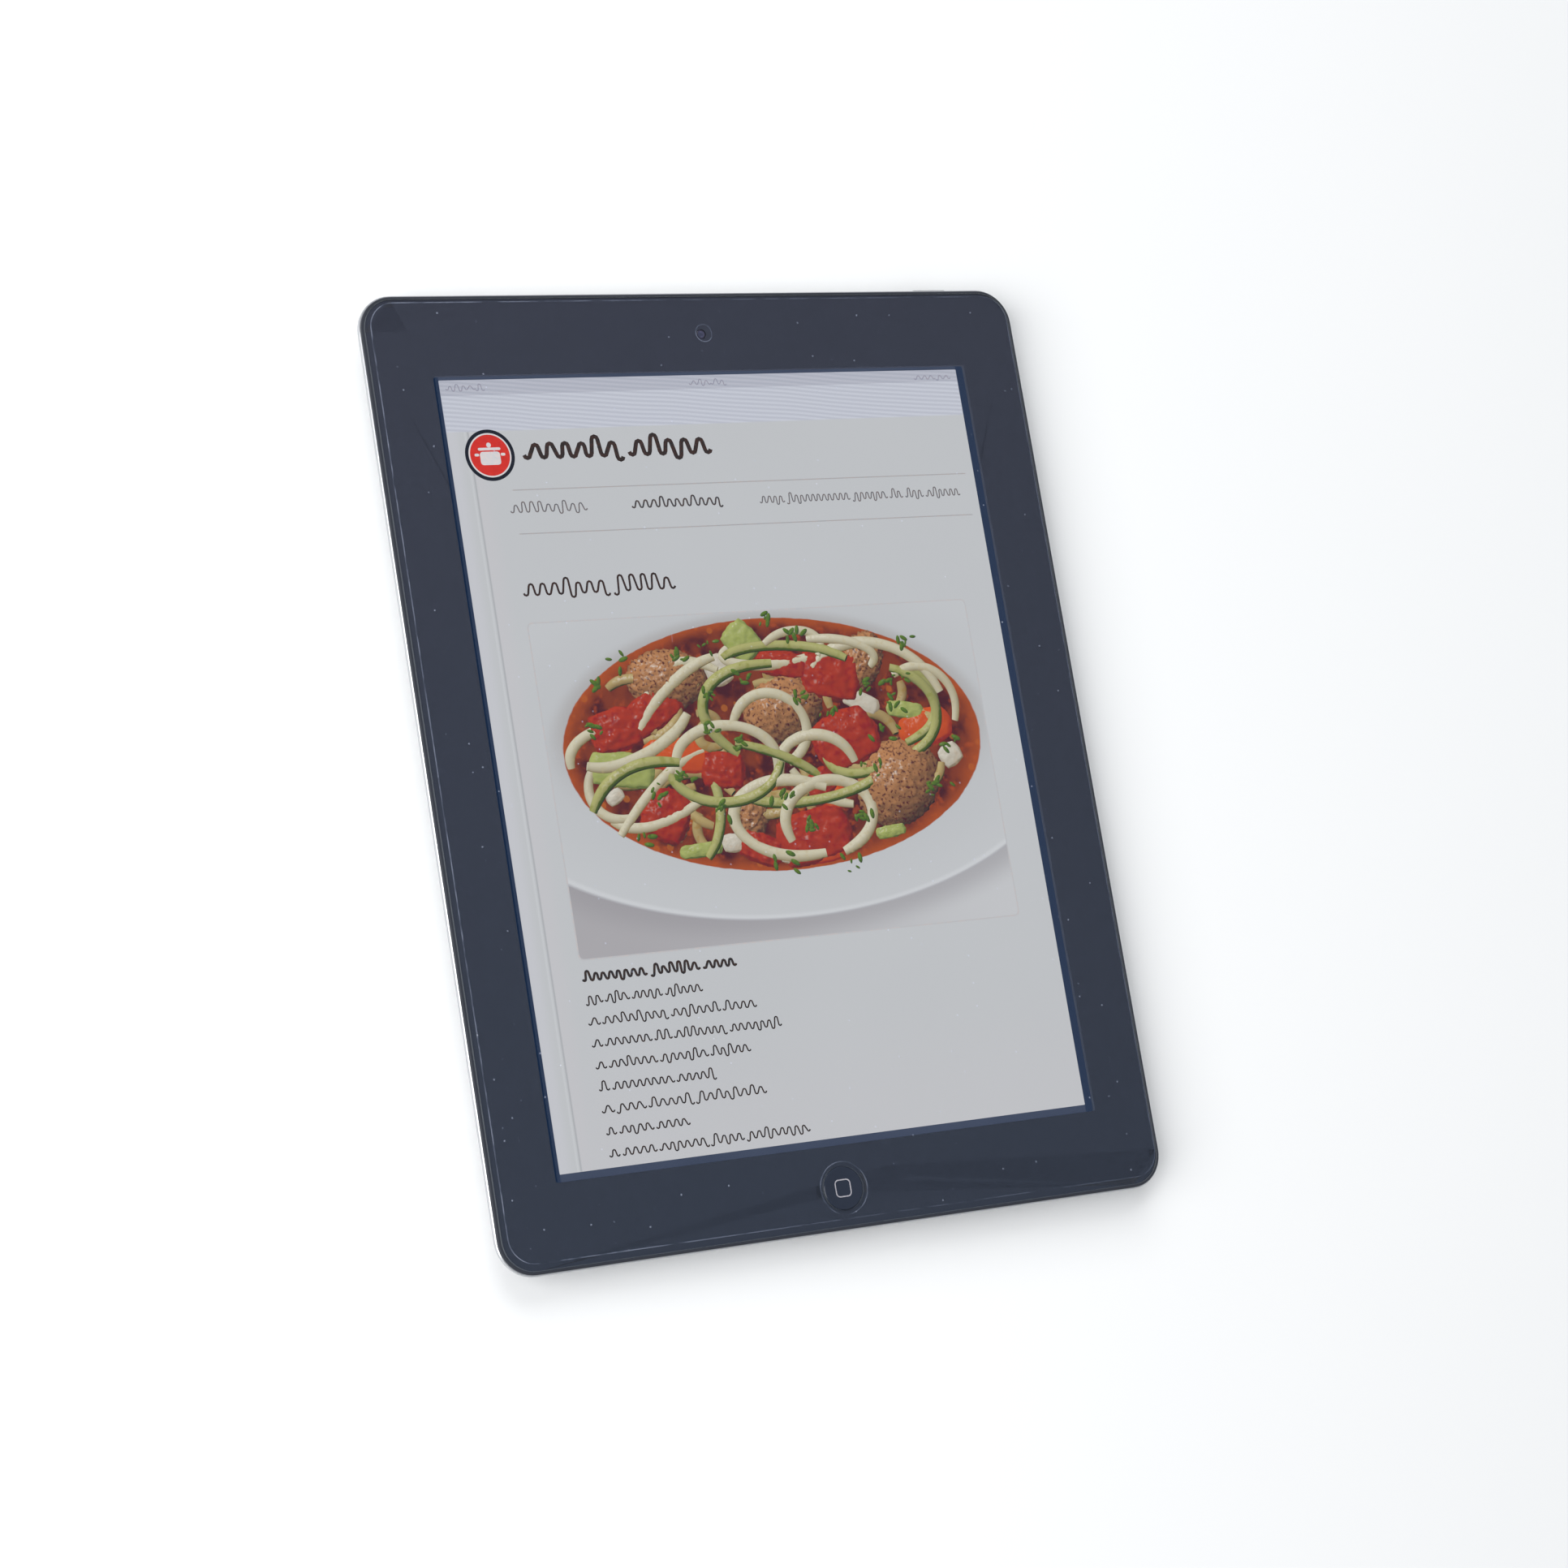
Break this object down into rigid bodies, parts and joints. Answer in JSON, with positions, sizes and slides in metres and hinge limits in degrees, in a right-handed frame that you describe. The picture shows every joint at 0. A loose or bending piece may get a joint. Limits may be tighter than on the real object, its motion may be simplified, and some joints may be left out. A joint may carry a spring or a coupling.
{
  "type": "tablet computer",
  "caption": "Slim tablet computer with a flat glass front over a lit screen, a metal tray back, a round home key, side keys and sockets.",
  "frame": {"origin": "centre of the flat rear face that the tablet lies on", "axes": "+X to the right and +Y up as the screen is read, +Z out of the screen"},
  "size_m": [0.186, 0.2417, 0.0095],
  "materials": {
    "case_metal": "fine bead-blasted, anodised",
    "black_plastic": "satin moulded",
    "clear_glass": "polished",
    "film": "thin clear film with a faint haze",
    "black_ink": "printed layer behind glass",
    "display_glass": "polished, blue-grey where unlit",
    "lit_screen": "backlit picture",
    "white_plastic": "clear moulded sheet",
    "key_plastic": "polished dish",
    "rubber": "moulded silicone",
    "foam": "closed-cell foam",
    "tape": "double-sided tape",
    "sheet_steel": "thin rolled sheet",
    "pin_steel": "turned",
    "bright_ring": "turned",
    "gold_contacts": "plated",
    "flex": "amber flexible circuit",
    "circuit_board": "solder mask",
    "chip_resin": "moulded resin",
    "graphite": "pressed sheet",
    "pouch": "laminated foil pouch",
    "antenna_plastic": "moulded carrier",
    "magnet": "nickel plated",
    "lens_glass": "coated lens",
    "black_mesh": "woven mesh"
  },
  "bodies": {
    "chassis": {"rear_case": "case_metal", "surround": "black_plastic", "glass_adhesive": "tape", "cover_glass": "clear_glass", "ink_mask": "black_ink", "touch_sensor": "clear_glass", "screen_film": "film", "lcd_pan": "sheet_steel", "lcd_bezel": "sheet_steel", "light_guide": "white_plastic", "lcd_cell": "display_glass", "active_screen": "lit_screen", "dust_gasket": "foam", "home_gasket": "rubber", "home_plate": "sheet_steel", "home_switch": "sheet_steel", "home_flex": "flex", "power_plate": "sheet_steel", "power_switch": "sheet_steel", "rocker_pin": "pin_steel", "side_plate": "sheet_steel", "volume_switches": "sheet_steel", "lock_switch": "black_plastic", "side_flex": "flex", "headphone_jack": "black_plastic", "jack_ring": "bright_ring", "dock_shell": "sheet_steel", "dock_tongue": "black_plastic", "dock_contacts": "gold_contacts", "dock_flex": "flex", "camera_plate": "sheet_steel", "front_camera": "black_plastic", "front_lens": "lens_glass", "light_sensor": "black_plastic", "camera_ring": "black_plastic", "camera_window": "lens_glass", "rear_camera": "black_plastic", "speaker_mesh": "black_mesh", "speaker_box": "black_plastic", "microphone": "sheet_steel", "battery_pads": "tape", "battery_left": "pouch", "battery_middle": "pouch", "battery_right": "pouch", "battery_board": "circuit_board", "logic_board": "circuit_board", "board_chips": "chip_resin", "processor_shield": "sheet_steel", "radio_shield": "sheet_steel", "heat_spreader": "graphite", "display_flex": "flex", "touch_flex": "flex", "wifi_antenna": "antenna_plastic", "short_range_antenna": "antenna_plastic", "cover_magnets": "magnet", "small_screws": "pin_steel"},
    "home_key": {"home_button": "key_plastic"},
    "power_key": {"power_button": "black_plastic"},
    "volume_key": {"volume_rocker": "black_plastic"},
    "lock_key": {"lock_slider": "black_plastic"}
  },
  "joints": [
    {"name": "home_press", "type": "slide", "parent": "chassis", "child": "home_key", "axis": [0, 0, -1], "range_m": [0, 0.0004], "stiffness_N_per_m": 400},
    {"name": "power_press", "type": "slide", "parent": "chassis", "child": "power_key", "axis": [0, -1, 0], "range_m": [0, 0.0003], "stiffness_N_per_m": 400},
    {"name": "volume_rock", "type": "hinge", "parent": "chassis", "child": "volume_key", "pos_m": [0.0876, 0.068, 0.0069], "axis": [0, 0, 1], "range_deg": [-1.2, 1.2], "stiffness_Nm_per_rad": 0.05},
    {"name": "lock_slide", "type": "slide", "parent": "chassis", "child": "lock_key", "axis": [0, 1, 0], "range_m": [0, 0.0018]}
  ]
}
